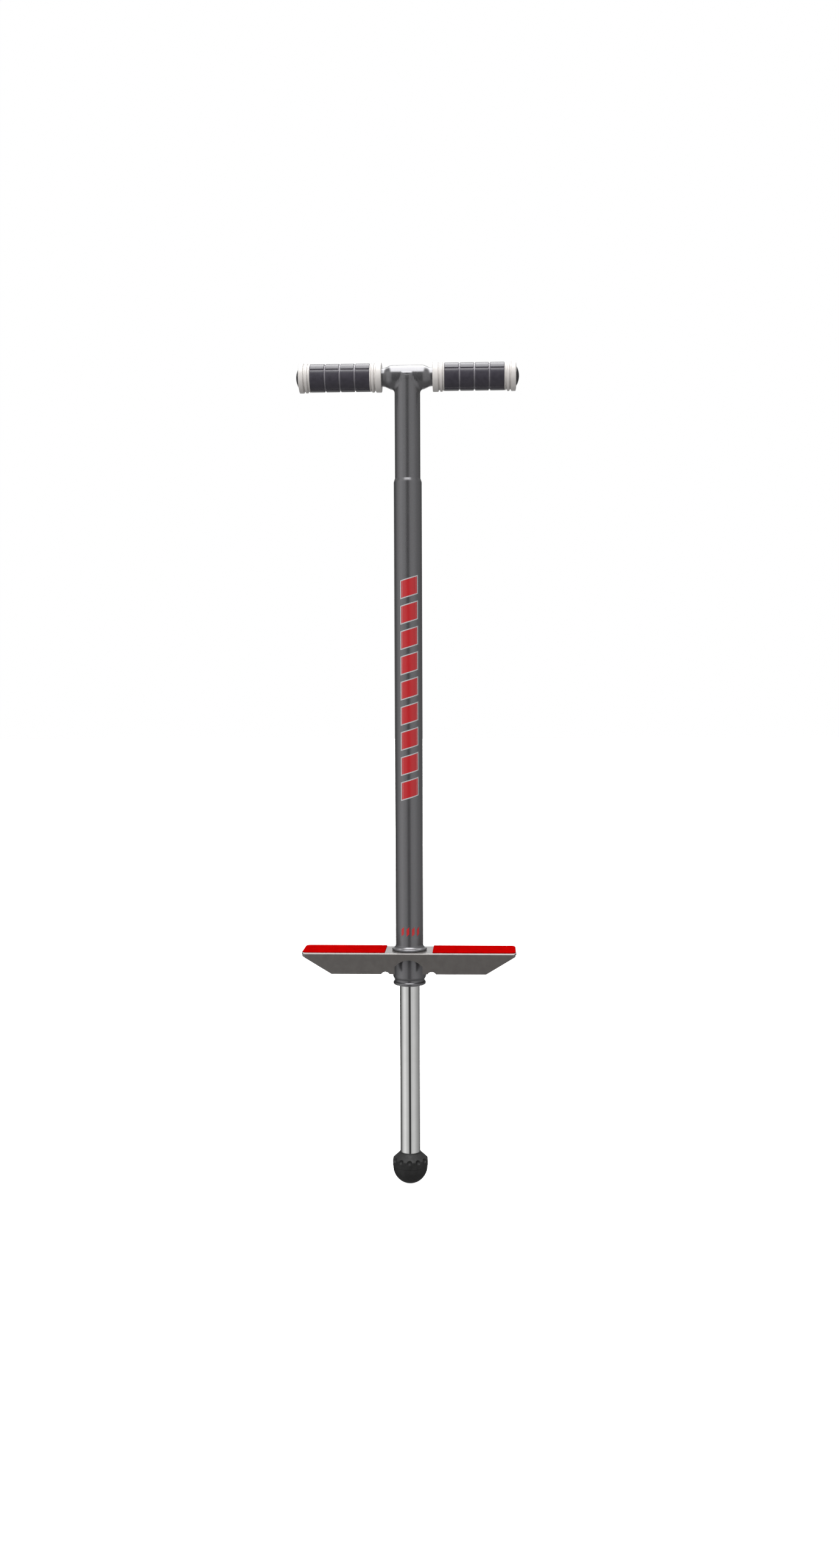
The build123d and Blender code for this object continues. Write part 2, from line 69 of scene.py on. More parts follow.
TUBE_R = reach("main_tube", 0)
STEM_R = reach("handle_stem", 0)
BAR_R = reach("handlebar", 1)
BAR_Z = centre_z("handlebar")
CORE_R = reach("grip_core_left", 1)
SLEEVE_R = reach("grip_sleeve_left", 1)
TIP_R = reach("foot_tip", 0)
TIP_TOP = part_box("foot_tip")[1].z
SHAFT_R = reach("plunger_shaft", 0)


# ---- materials ----
class Finish:
    """A Principled material whose colour, roughness and height get procedural detail in row-frame metres."""

    def __init__(self, name, colour, roughness, metallic=0.0, **sockets):
        self.material = bpy.data.materials.new(name)
        self.material.use_nodes = True
        self.tree = self.material.node_tree
        self.shader = self.tree.nodes["Principled BSDF"]
        self.shader.inputs["Base Color"].default_value = (*colour, 1)
        self.shader.inputs["Roughness"].default_value = roughness
        self.shader.inputs["Metallic"].default_value = metallic
        for socket, value in sockets.items():
            self.shader.inputs[socket.replace("_", " ")].default_value = value
        self.place = self.node("ShaderNodeTexCoord").outputs["Object"]
        self.normal = None

    def node(self, kind, **settings):
        made = self.tree.nodes.new(kind)
        for setting, value in settings.items():
            setattr(made, setting, value)
        return made

    def link(self, output, target):
        self.tree.links.new(output, target)

    def noise(self, size, detail=3.0, stretch=(1, 1, 1), rough=0.55):
        """Noise with features of that size in metres, longer along an axis where stretch is over 1."""
        mapping = self.node("ShaderNodeMapping")
        self.link(self.place, mapping.inputs["Vector"])
        mapping.inputs["Scale"].default_value = [1 / (size * s) for s in stretch]
        noise = self.node("ShaderNodeTexNoise")
        self.link(mapping.outputs["Vector"], noise.inputs["Vector"])
        noise.inputs["Scale"].default_value = 1.0
        noise.inputs["Detail"].default_value = detail
        noise.inputs["Roughness"].default_value = rough
        return noise.outputs["Fac"]

    def range(self, factor, low, high, start=0.3, end=0.7):
        """The factor from start to end, spread from low to high."""
        spread = self.node("ShaderNodeMapRange", interpolation_type="SMOOTHSTEP")
        self.link(factor, spread.inputs["Value"])
        for socket, value in (("From Min", start), ("From Max", end), ("To Min", low), ("To Max", high)):
            spread.inputs[socket].default_value = value
        return spread.outputs["Result"]

    def mix(self, factor, low, high):
        """A colour between low and high; either may be a colour or another node's output."""
        mixer = self.node("ShaderNodeMix", data_type="RGBA")
        self.link(factor, mixer.inputs["Factor"])
        for socket, value in ((mixer.inputs[6], low), (mixer.inputs[7], high)):
            if isinstance(value, tuple):
                socket.default_value = (*value, 1)
            else:
                self.link(value, socket)
        return mixer.outputs[2]

    def colour(self, output):
        self.link(output, self.shader.inputs["Base Color"])
        return self

    def rough(self, output):
        self.link(output, self.shader.inputs["Roughness"])
        return self

    def bump(self, height, depth, strength=1.0):
        """Adds a height texture whose full range is depth metres."""
        bump = self.node("ShaderNodeBump")
        bump.inputs["Strength"].default_value = strength
        bump.inputs["Distance"].default_value = depth
        self.link(height, bump.inputs["Height"])
        if self.normal:
            self.link(self.normal, bump.inputs["Normal"])
        self.normal = bump.outputs["Normal"]
        self.link(self.normal, self.shader.inputs["Normal"])
        return self


def scratches(finish, length, width, along=2):
    """A mask of fine scratches that run along one axis."""
    stretch = [1.0, 1.0, 1.0]
    stretch[along] = length / width
    fine = finish.noise(width, detail=1.0, stretch=stretch)
    patch = finish.noise(0.05, detail=2.0)
    lines = finish.range(fine, 0.0, 1.0, 0.68, 0.74)
    where = finish.range(patch, 0.0, 1.0, 0.5, 0.7)
    product = finish.node("ShaderNodeMath", operation="MULTIPLY")
    finish.link(lines, product.inputs[0])
    finish.link(where, product.inputs[1])
    return product.outputs["Value"]


def tube_paint():
    """Dark grey metallic paint with a clear coat: fine flake, slight orange peel and hairline scratches."""
    f = Finish("paint_frame", (0.17, 0.168, 0.176), 0.24, 0.75, Coat_Weight=0.3, Coat_Roughness=0.2)
    flake = f.noise(0.6 * MM, detail=1.0)
    worn = scratches(f, 14 * MM, 0.35 * MM)
    base = f.mix(f.range(flake, 0, 1), (0.157, 0.155, 0.162), (0.184, 0.182, 0.19))
    f.colour(f.mix(f.range(worn, 0, 0.35, 0, 1), base, (0.24, 0.24, 0.25)))
    f.rough(f.range(f.noise(18 * MM), 0.22, 0.26))
    f.bump(f.noise(2.2 * MM, detail=0.0), 0.006 * MM)
    return f.material


def plate_paint():
    """Satin grey powder coat on the bent plate, a little warmer and coarser than the tube's paint."""
    f = Finish("paint_plate", (0.12, 0.112, 0.107), 0.28, 0.3, Coat_Weight=0.7, Coat_Roughness=0.1)
    cloud = f.noise(9 * MM)
    f.colour(f.mix(f.range(cloud, 0, 1), (0.113, 0.105, 0.1), (0.127, 0.119, 0.113)))
    f.rough(f.range(f.noise(12 * MM, detail=1.0), 0.28, 0.32))
    f.bump(f.noise(1.6 * MM, detail=0.0), 0.003 * MM)
    return f.material


def chrome():
    """Bright plating on drawn tube: a trace of polishing lines and haze."""
    f = Finish("chrome_plate", (0.82, 0.82, 0.81), 0.06, 1.0)
    lines = f.noise(0.3 * MM, detail=1.0, stretch=(1, 1, 60))
    haze = f.noise(22 * MM)
    f.colour(f.mix(f.range(haze, 0, 1), (0.80, 0.80, 0.79), (0.84, 0.84, 0.83)))
    f.rough(f.range(f.noise(12 * MM), 0.045, 0.085))
    f.bump(lines, 0.0015 * MM)
    return f.material


def rubber(name, colour, roughness, grain, depth, spread=0.12, **sockets):
    """Moulded rubber: a fine moulded grain, and lighter where it scuffs."""
    f = Finish(name, colour, roughness, 0.0, **sockets)
    scuff = f.noise(7 * MM, detail=5.0)
    dark = tuple(c * (1 - spread) for c in colour)
    light = tuple(min(1.0, c * (1 + spread)) for c in colour)
    f.colour(f.mix(f.range(scuff, 0, 1), dark, light))
    f.rough(f.range(f.noise(3 * MM), roughness - 0.05, roughness + 0.06))
    f.bump(f.noise(grain, detail=2.0), depth)
    return f.material


def sleeve_rubber():
    """Dark grip rubber with a slight sheen; paler down in the grooves between its blocks, a painted highlight for
    light caught in the grooves.
    """
    f = Finish("rubber_sleeve", (0.04, 0.036, 0.047), 0.3)
    split = f.node("ShaderNodeSeparateXYZ")
    f.link(f.place, split.inputs[0])
    across = f.node("ShaderNodeCombineXYZ")
    f.link(split.outputs["Y"], across.inputs["Y"])
    f.link(split.outputs["Z"], across.inputs["Z"])
    out = f.node("ShaderNodeVectorMath", operation="DISTANCE")
    f.link(across.outputs[0], out.inputs[0])
    out.inputs[1].default_value = (0, 0, BAR_Z)
    # painted highlight: the groove floors are coloured paler than the blocks to stand in for light caught in the
    # grooves
    groove_highlight = f.range(out.outputs["Value"], 1.0, 0.0, SLEEVE_R - 1.2 * MM, SLEEVE_R - 0.3 * MM)
    block = f.mix(f.range(f.noise(5 * MM, detail=5.0), 0, 1), (0.035, 0.032, 0.042), (0.045, 0.041, 0.053))
    f.colour(f.mix(groove_highlight, block, (0.2, 0.19, 0.21)))
    f.rough(f.range(f.noise(9 * MM, detail=1.0), 0.29, 0.33))
    f.bump(f.noise(0.9 * MM, detail=1.0), 0.005 * MM)
    return f.material


def moulded_plastic(name, colour, roughness):
    """Injection moulded plastic: faint flow marks and a fine texture."""
    f = Finish(name, colour, roughness, 0.0)
    flow = f.noise(6 * MM, detail=2.0, stretch=(3, 1, 1))
    f.colour(f.mix(f.range(flow, 0, 1), tuple(c * 0.92 for c in colour), tuple(min(1, c * 1.06) for c in colour)))
    f.rough(f.range(f.noise(2 * MM), roughness - 0.04, roughness + 0.05))
    f.bump(f.noise(0.5 * MM), 0.008 * MM)
    return f.material


def bare_steel(name, colour, roughness, streak_axis=2):
    """Turned or drawn steel: streaks along one axis and patchy shine."""
    f = Finish(name, colour, roughness, 1.0)
    stretch = [1.0, 1.0, 1.0]
    stretch[streak_axis] = 25.0
    streak = f.noise(0.3 * MM, detail=2.0, stretch=stretch)
    f.colour(f.mix(f.range(streak, 0, 1), tuple(c * 0.85 for c in colour), colour))
    f.rough(f.range(f.noise(5 * MM), roughness - 0.06, roughness + 0.08))
    f.bump(streak, 0.004 * MM)
    return f.material


def sticker(name, colour):
    """Printed film: an even satin colour with faint print grain and a smooth laminate."""
    f = Finish(name, colour, 0.38, 0.0, Coat_Weight=0.4, Coat_Roughness=0.15)
    grain = f.noise(0.4 * MM, detail=2.0)
    f.colour(f.mix(f.range(grain, 0, 1), tuple(c * 0.9 for c in colour), tuple(min(1, c * 1.05) for c in colour)))
    f.rough(f.range(f.noise(8 * MM), 0.34, 0.42))
    f.bump(grain, 0.003 * MM)
    return f.material


def make_materials():
    """One material for each of the record's slots."""
    return {
        "frame_paint": tube_paint(),
        "plate_paint": plate_paint(),
        "chrome_plate": chrome(),
        "tip_rubber": rubber(
            "rubber_tip", (0.013, 0.013, 0.013), 0.55, 0.5 * MM, 0.03 * MM, 0.25, Specular_IOR_Level=0.35
        ),
        "pad_red": rubber("rubber_pad", (0.26, 0.0004, 0.0004), 0.6, 0.35 * MM, 0.03 * MM, Specular_IOR_Level=0.0),
        "grip_white": rubber("rubber_core", (0.6, 0.575, 0.555), 0.4, 0.6 * MM, 0.012 * MM, 0.04),
        "grip_dark": sleeve_rubber(),
        "plug_black": moulded_plastic("plastic_plug", (0.02, 0.02, 0.021), 0.28),
        "nylon": moulded_plastic("plastic_nylon", (0.62, 0.6, 0.53), 0.45),
        "spring_steel": bare_steel("steel_spring", (0.3, 0.3, 0.32), 0.35, 0),
        "zinc_steel": bare_steel("steel_zinc", (0.6, 0.61, 0.63), 0.32),
        "bumper_rubber": rubber("rubber_bumper", (0.04, 0.04, 0.04), 0.6, 0.5 * MM, 0.03 * MM),
        "decal_red": sticker("film_red", (0.42, 0.008, 0.012)),
        "decal_silver": sticker("film_silver", (0.45, 0.45, 0.46)),
    }


# ---- mesh helpers ----
def add_piece(name, vertices, faces, body, slot, *nodes, sharp_deg=40):
    """A smooth-shaded mesh that rides on a body, takes a slot's material and may stand for CAD nodes."""
    mesh = bpy.data.meshes.new(name)
    mesh.from_pydata([tuple(v) for v in vertices], [], faces)
    mesh.validate()
    mesh.update()
    piece = bpy.data.objects.new(name, mesh)
    bpy.context.scene.collection.objects.link(piece)
    mesh.materials.append(MATERIALS[slot])
    mesh.shade_smooth()
    mesh.set_sharp_from_angle(angle=math.radians(sharp_deg))
    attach(piece, body)
    if nodes:
        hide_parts(*nodes)
    return piece


def grid_faces(rows, columns, wrap_rows=False, wrap_columns=False, offset=0):
    """Quads of a grid whose vertices are numbered row by row."""
    faces = []
    for r in range(rows if wrap_rows else rows - 1):
        for c in range(columns if wrap_columns else columns - 1):
            r2, c2 = (r + 1) % rows, (c + 1) % columns
            here, above = offset + r * columns, offset + r2 * columns
            faces.append([here + c, here + c2, above + c2, above + c])
    return faces


def rounded(points, radii, steps=5):
    """A profile with its corners rounded: each corner's radius is in radii, 0 for a sharp one."""
    out = []
    for i, point in enumerate(points):
        r = radii[i]
        if not r or i in (0, len(points) - 1):
            out.append(point)
            continue
        here = Vector(point)
        back, ahead = Vector(points[i - 1]) - here, Vector(points[i + 1]) - here
        half = back.angle(ahead) / 2
        cut = min(r / math.tan(half), 0.49 * back.length, 0.49 * ahead.length)
        start, end = here + back.normalized() * cut, here + ahead.normalized() * cut
        for k in range(steps + 1):
            t = k / steps
            out.append(tuple((1 - t) ** 2 * start + 2 * t * (1 - t) * here + t * t * end))
    return out


def lathe(profile, steps, place):
    """Vertices of a profile of (radius, height) turned about an axis: place(radius, angle, height) gives a point."""
    return [place(r, 2 * math.pi * k / steps, h) for r, h in profile for k in range(steps)]


def on_bar(side):
    """Turns about the handlebar: the height runs outwards from the middle, on the side's half."""
    return lambda r, angle, h: (side * h, -r * math.cos(angle), BAR_Z + r * math.sin(angle))


# ---- grips ----
def grip_core(side, tag):
    """Off-white core: at each end a wide rib, a narrower one and a thin one, all with rounded tops."""
    node = f"grip_core_{tag}"
    low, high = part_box(node)
    inner, outer = sorted((abs(low.x), abs(high.x)))
    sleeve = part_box(f"grip_sleeve_{tag}")
    sleeve_in, sleeve_out = sorted((abs(sleeve[0].x), abs(sleeve[1].x)))
    bore = reach("bar_plug_left", 1) - 0.2 * MM
    valley = CORE_R - 1.9 * MM
    profile = [(bore, inner), (CORE_R - 0.6 * MM, inner)]
    radii = [0, 1.2 * MM]

    def rib(start, end, top, edge):
        profile.extend([(valley, start), (top, start + 0.25 * MM), (top, end - 0.25 * MM), (valley, end)])
        radii.extend([0.4 * MM, edge, edge, 0.4 * MM])

    profile.extend([(CORE_R, inner + 0.5 * MM), (CORE_R, inner + 6.9 * MM), (valley, inner + 7.2 * MM)])
    radii.extend([0.9 * MM, 1.1 * MM, 0.4 * MM])
    rib(inner + 8.9 * MM, inner + 12.2 * MM, CORE_R - 0.15 * MM, 1.2 * MM)
    rib(inner + 12.9 * MM, sleeve_in, CORE_R - 0.9 * MM, 0.6 * MM)
    seat = SLEEVE_R - 1.9 * MM
    profile.extend([(seat, sleeve_in + 0.1 * MM), (seat, sleeve_out - 0.1 * MM)])
    radii.extend([0, 0])
    rib(sleeve_out, sleeve_out + 1.6 * MM, CORE_R - 0.9 * MM, 0.6 * MM)
    rib(sleeve_out + 3.1 * MM, sleeve_out + 6.5 * MM, CORE_R - 0.15 * MM, 1.2 * MM)
    profile.extend([(valley, outer - 6.4 * MM), (CORE_R, outer - 6.1 * MM), (CORE_R, outer - 0.8 * MM)])
    radii.extend([0.4 * MM, 1.0 * MM, 0.7 * MM])
    profile.extend([(CORE_R - 3.2 * MM, outer - 0.1 * MM), (bore, outer)])
    radii.extend([1.5 * MM, 0])
    line = rounded(profile, radii)
    steps = 128
    vertices = lathe(line, steps, on_bar(side))
    faces = grid_faces(len(line), steps, wrap_rows=True, wrap_columns=True)
    add_piece(f"grip_core_{tag}_moulded", vertices, faces, "frame", "grip_white", node, sharp_deg=60)


def grip_sleeve(side, tag):
    """Dark sleeve of raised blocks with rounded edges over a thin skin."""
    node = f"grip_sleeve_{tag}"
    low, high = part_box(node)
    inner, outer = sorted((abs(low.x), abs(high.x)))
    columns, rows = 4, 4
    gap = 1.7 * MM
    floor = SLEEVE_R - 1.35 * MM
    under = SLEEVE_R - 1.8 * MM
    first_groove = math.radians(26.0)
    place = on_bar(side)
    vertices, faces = [], []

    skin = [(under, inner), (floor, inner + 0.3 * MM), (floor, outer - 0.3 * MM), (under, outer)]
    vertices += lathe(skin, 96, place)
    faces += grid_faces(len(skin), 96, wrap_columns=True)

    length = (outer - inner) / columns
    edge = 0.75 * MM
    around, along = 30, 18
    for row in range(rows):
        turn = 2 * math.pi / rows
        start = first_groove + row * turn + gap / 2 / SLEEVE_R
        span = turn - gap / SLEEVE_R
        for column in range(columns):
            left = inner + column * length + (gap / 2 if column else 0)
            right = inner + (column + 1) * length - (gap / 2 if column < columns - 1 else 0)
            offset = len(vertices)
            us = edge_steps(span * SLEEVE_R, edge, around)
            vs = edge_steps(right - left, edge, along)
            for v, v_drop in vs:
                for u, u_drop in us:
                    drop = edge - math.sqrt(max(0.0, edge**2 - max(u_drop, 0) ** 2 - max(v_drop, 0) ** 2))
                    corner = math.hypot(u_drop, v_drop) > edge
                    r = SLEEVE_R - (edge if corner else drop)
                    r = r if u_drop < edge and v_drop < edge else floor - 0.05 * MM
                    vertices.append(place(r, start + u / SLEEVE_R, left + v))
            faces += grid_faces(len(vs), len(us), offset=offset)
    add_piece(f"grip_sleeve_{tag}_blocks", vertices, faces, "frame", "grip_dark", node, sharp_deg=75)


def edge_steps(length, edge, steps):
    """Places across a block, close together over its rounded edges: (place, how far into the edge's curve)."""
    curve = [math.sin(math.radians(a)) for a in (90, 72, 54, 36, 18)]
    near = [(0.0, edge)] + [(edge * (1 - s), edge * s) for s in curve]
    inside = [(edge + (length - 2 * edge) * k / steps, 0.0) for k in range(steps + 1)]
    return near + inside + [(length - place, drop) for place, drop in reversed(near)]


# ---- handle weld ----
WELD_LEG = 5.2 * MM  # how far the bead reaches along the stem and round the bar
WELD_RIPPLES = 46  # round the bead
WELD_RIPPLE = 0.07 * MM
WELD_FULL = 1.5 * MM  # how far the bead stands out in front
WELD_FULL_FROM = 0.86  # how squarely forward its side faces before it fills out


def handle_weld():
    """Bead between stem and bar: it runs from the stem's side on to the bar's, hollow at the sides, full in front."""
    lap = BAR_R / STEM_R
    around, across = 288, 12
    vertices = []
    for k in range(around):
        angle = 2 * math.pi * k / around
        sx, sy = math.sin(angle), -math.cos(angle)
        beta = math.asin(min(1.0, abs(sy) / lap)) * (1 if sy < 0 else -1)
        ripple = WELD_RIPPLE * math.sin(WELD_RIPPLES * angle)
        seam = bar_point(STEM_R * sx, beta)
        seam.x, seam.y = STEM_R * sx, STEM_R * sy
        front = max(0.0, abs(sy) - WELD_FULL_FROM) / (1 - WELD_FULL_FROM)
        low = Vector((seam.x * 1.001, seam.y * 1.001, seam.z - WELD_LEG))
        top = bar_point((STEM_R + WELD_LEG) * sx, beta + math.copysign(WELD_LEG * abs(sy) / BAR_R, sy) * -1)
        bulge = Vector((sx, sy, -0.2)) * (front * WELD_FULL + ripple)
        for j in range(across + 1):
            t = j / across
            vertices.append((1 - t) ** 2 * low + 2 * t * (1 - t) * (seam + bulge) + t * t * top)
    faces = grid_faces(around, across + 1, wrap_rows=True)
    add_piece("handle_weld_bead", vertices, faces, "frame", "frame_paint", "handle_weld", sharp_deg=80)


def bar_point(x, beta):
    """A point on the handlebar's thick middle: beta is 0 underneath and a quarter turn at the front."""
    r = BAR_R * 1.001
    return Vector((x, -r * math.sin(beta), BAR_Z - r * math.cos(beta)))


# ---- rubber tip ----
SCOOPS = 12
SCOOP_R = 3.2 * MM


def foot_tip():
    """Ball tip with a round lip, a 45 degree shoulder, a band, and twelve scoops cut round the shoulder."""
    ball = TIP_R - 0.5 * MM
    cone_top = SHAFT_R + 1.1 * MM
    lip_low = TIP_TOP - 0.9 * MM
    shoulder = lip_low - (TIP_R - 0.6 * MM - cone_top)
    outline = [
        (SHAFT_R, TIP_TOP - 3 * MM),
        (SHAFT_R, TIP_TOP),
        (cone_top - 0.15 * MM, TIP_TOP),
        (cone_top, lip_low),
        (TIP_R - 0.35 * MM, shoulder + 0.25 * MM),
        (TIP_R, shoulder - 0.9 * MM),
        (TIP_R, ball + 1.4 * MM),
        (ball, ball + 0.8 * MM),
        (ball, ball),
    ]
    line = rounded(outline, [0, 0.3 * MM, 0.5 * MM, 0.5 * MM, 0.9 * MM, 0.8 * MM, 0.5 * MM, 0.5 * MM, 0], 4)
    dense = []
    for (r1, z1), (r2, z2) in zip(line, line[1:]):
        count = max(1, round(math.hypot(r2 - r1, z2 - z1) / (0.45 * MM)))
        dense += [(r1 + (r2 - r1) * k / count, z1 + (z2 - z1) * k / count) for k in range(count)]
    dense += [(ball * math.cos(a), ball * (1 - math.sin(a))) for a in [math.radians(2.5 * k) for k in range(36)]]
    steps = 288
    vertices = lathe(dense, steps, lambda r, angle, h: Vector((r * math.sin(angle), -r * math.cos(angle), h)))
    for v in vertices:
        angle = math.atan2(v.x, -v.y)
        nearest = round(angle * SCOOPS / (2 * math.pi)) * 2 * math.pi / SCOOPS
        heart = Vector((TIP_R * math.sin(nearest), -TIP_R * math.cos(nearest), shoulder))
        inward = Vector((-math.sin(nearest), math.cos(nearest), -1)).normalized()
        away = v - heart
        if away.length < SCOOP_R:
            along = away.dot(inward)
            side = away - inward * along
            v += inward * (math.sqrt(SCOOP_R**2 - side.length_squared) - along)
    pole = len(vertices)
    vertices.append(Vector((0, 0, 0)))
    faces = grid_faces(len(dense), steps, wrap_columns=True)
    faces += [[(len(dense) - 1) * steps + k, (len(dense) - 1) * steps + (k + 1) % steps, pole] for k in range(steps)]
    add_piece("foot_tip_moulded", vertices, faces, "plunger", "tip_rubber", "foot_tip", sharp_deg=50)


# ---- main spring ----
SPRING_WIRE_R = 2.25 * MM
SPRING_TURNS = 38
CLOSED_TURNS = 1.25  # at each end
CLOSED_RISE = 0.45  # of a closed turn, as a part of an open one's


def main_spring():
    """Compression spring with closed ends."""
    low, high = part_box("main_spring")
    wire = SPRING_WIRE_R
    mean = (high.x - low.x) / 2 - wire
    length = high.z - low.z - 2 * wire
    rise = [0.0]
    steps_per_turn, sides = 32, 10
    count = SPRING_TURNS * steps_per_turn
    for k in range(count):
        t = (k + 0.5) / steps_per_turn
        near_end = min(t, SPRING_TURNS - t)
        rise.append(rise[-1] + (CLOSED_RISE if near_end < CLOSED_TURNS else 1.0))
    scale = length / rise[-1]
    vertices = []
    for k in range(count + 1):
        angle = 2 * math.pi * k / steps_per_turn
        out = Vector((math.cos(angle), math.sin(angle), 0))
        centre = out * mean + Vector((0, 0, low.z + wire + rise[k] * scale))
        for s in range(sides):
            a = 2 * math.pi * s / sides
            vertices.append(centre + out * wire * math.cos(a) + Vector((0, 0, wire * math.sin(a))))
    faces = grid_faces(count + 1, sides, wrap_columns=True)
    faces += [list(range(sides)), list(range(count * sides, (count + 1) * sides))]
    spring = add_piece("main_spring_coil", vertices, faces, "frame", "spring_steel", "main_spring")
    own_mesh(spring)


# ---- stickers ----
def sticker_patch(vertices, faces, angle, z, width, height, slant, radius):
    """A parallelogram on the tube: width along its round, height along its length, leaning by slant."""
    columns = 8
    offset = len(vertices)
    for end in (-0.5, 0.5):
        for k in range(columns + 1):
            across = (k / columns - 0.5) * width
            a = angle + across / TUBE_R
            up = z + end * height + slant * across
            vertices.append((radius * math.sin(a), -radius * math.cos(a), up))
    faces += grid_faces(2, columns + 1, offset=offset)


BADGE_BEARING = math.radians(7.5)  # the stickers sit a little to the right of the front


BADGE_LOW, BADGE_HIGH = 0.492, 0.774  # the stretch of the tube that the big bars fill
BARS, BAR_WIDTH, BAR_SLANT, BAR_BORDER = 9, 21 * MM, 0.3, 1.3 * MM
BAR_SHARE = 0.66  # of each bar's pitch that is red
SMALL_BARS, SMALL_PITCH, SMALL_Z = 4, 6.8 * MM, 0.3275
SMALL_WIDTH, SMALL_HEIGHT, SMALL_SLANT = 3.4 * MM, 9 * MM, 0.9
BORDER_LIFT, BAR_LIFT = 0.06 * MM, 0.1 * MM  # of the films off the tube


def make_stickers():
    """A ladder of slanted red bars with silver borders up the front of the tube, and a small group low down."""
    pitch = (BADGE_HIGH - BADGE_LOW) / BARS
    film, print_film = TUBE_R + BORDER_LIFT, TUBE_R + BAR_LIFT
    height = BAR_SHARE * pitch
    silver, red = ([], []), ([], [])
    for i in range(BARS):
        z = BADGE_LOW + (i + 0.5) * pitch
        wide, tall = BAR_WIDTH + 2 * BAR_BORDER, height + 2 * BAR_BORDER
        sticker_patch(*silver, BADGE_BEARING, z, wide, tall, BAR_SLANT, film)
        sticker_patch(*red, BADGE_BEARING, z, BAR_WIDTH, height, BAR_SLANT, print_film)
    for i in range(SMALL_BARS):
        bearing = BADGE_BEARING + (i - (SMALL_BARS - 1) / 2) * SMALL_PITCH / TUBE_R
        sticker_patch(*red, bearing, SMALL_Z, SMALL_WIDTH, SMALL_HEIGHT, SMALL_SLANT, print_film)
    add_piece("sticker_borders", *silver, "frame", "decal_silver")
    add_piece("sticker_bars", *red, "frame", "decal_red")


# ---- studio ----
def make_floor():
    """A plain white floor at the height of the tip's lowest point."""
    bpy.ops.mesh.primitive_plane_add(size=30)
    floor = bpy.context.object
    floor.name = "studio_floor"
    floor.location.z = -0.5 * MM
    white = bpy.data.materials.new("studio_white")
    white.use_nodes = True
    shader = white.node_tree.nodes["Principled BSDF"]
    shader.inputs["Base Color"].default_value = (0.9, 0.9, 0.9, 1)
    shader.inputs["Emission Color"].default_value = (1, 1, 1, 1)
    shader.inputs["Emission Strength"].default_value = 1.0
    nodes, links = white.node_tree.nodes, white.node_tree.links
    clear_below = nodes.new("ShaderNodeMixShader")  # from underneath the floor is clear, and the object shows
    links.new(nodes.new("ShaderNodeNewGeometry").outputs["Backfacing"], clear_below.inputs[0])
    links.new(shader.outputs[0], clear_below.inputs[1])
    links.new(nodes.new("ShaderNodeBsdfTransparent").outputs[0], clear_below.inputs[2])
    links.new(clear_below.outputs[0], nodes["Material Output"].inputs["Surface"])
    floor.data.materials.append(white)
    floor.visible_glossy = False
    floor.visible_diffuse = False
    floor.visible_shadow = False


CAMERA_AZIMUTH = 3.0  # degrees from straight in front, towards +X
CAMERA_DISTANCE, CAMERA_HEIGHT = 1.85, 0.64
TIP_DOWN, PAN, ROLL = 3.935, 0.413, -0.2  # degrees
LENS = 33.78

# how bright the walls of the studio are at each bearing from the camera's side, in degrees: soft boxes left and right
WALLS = [
    (-180, 0.80), (-168, 0.70), (-158, 0.10), (-126, 0.07), (-110, 0.29), (-95, 0.51), (-75, 0.76), (-57, 0.84),
    (-40, 0.62), (-22, 0.52), (-14, 0.28), (-9, 0.06), (0, 0.02), (6, 0.05), (10, 0.26), (17, 0.58),
    (45, 0.64), (60, 0.57), (80, 0.42), (110, 0.32), (130, 0.18), (158, 0.10), (168, 0.70), (180, 0.80),
]
BACKDROP_TOP = (18.0, 28.0)  # degrees above the horizon over which the backdrop ends
CEILING_FROM = (40.0, 50.0)  # and over which the ceiling begins
CEILING = 0.3
STRIP = 5.5  # the long soft box over the object, from front to back
STRIP_HALF = (0.25, 0.5)  # how far it reaches to each side, as a part of the sky, and where it has faded out
FLOOR_FROM = (-28.0, -60.0)  # below the horizon
FLOOR = 0.28
OVERHEAD_GAP = 0.3  # between the backdrop and the ceiling


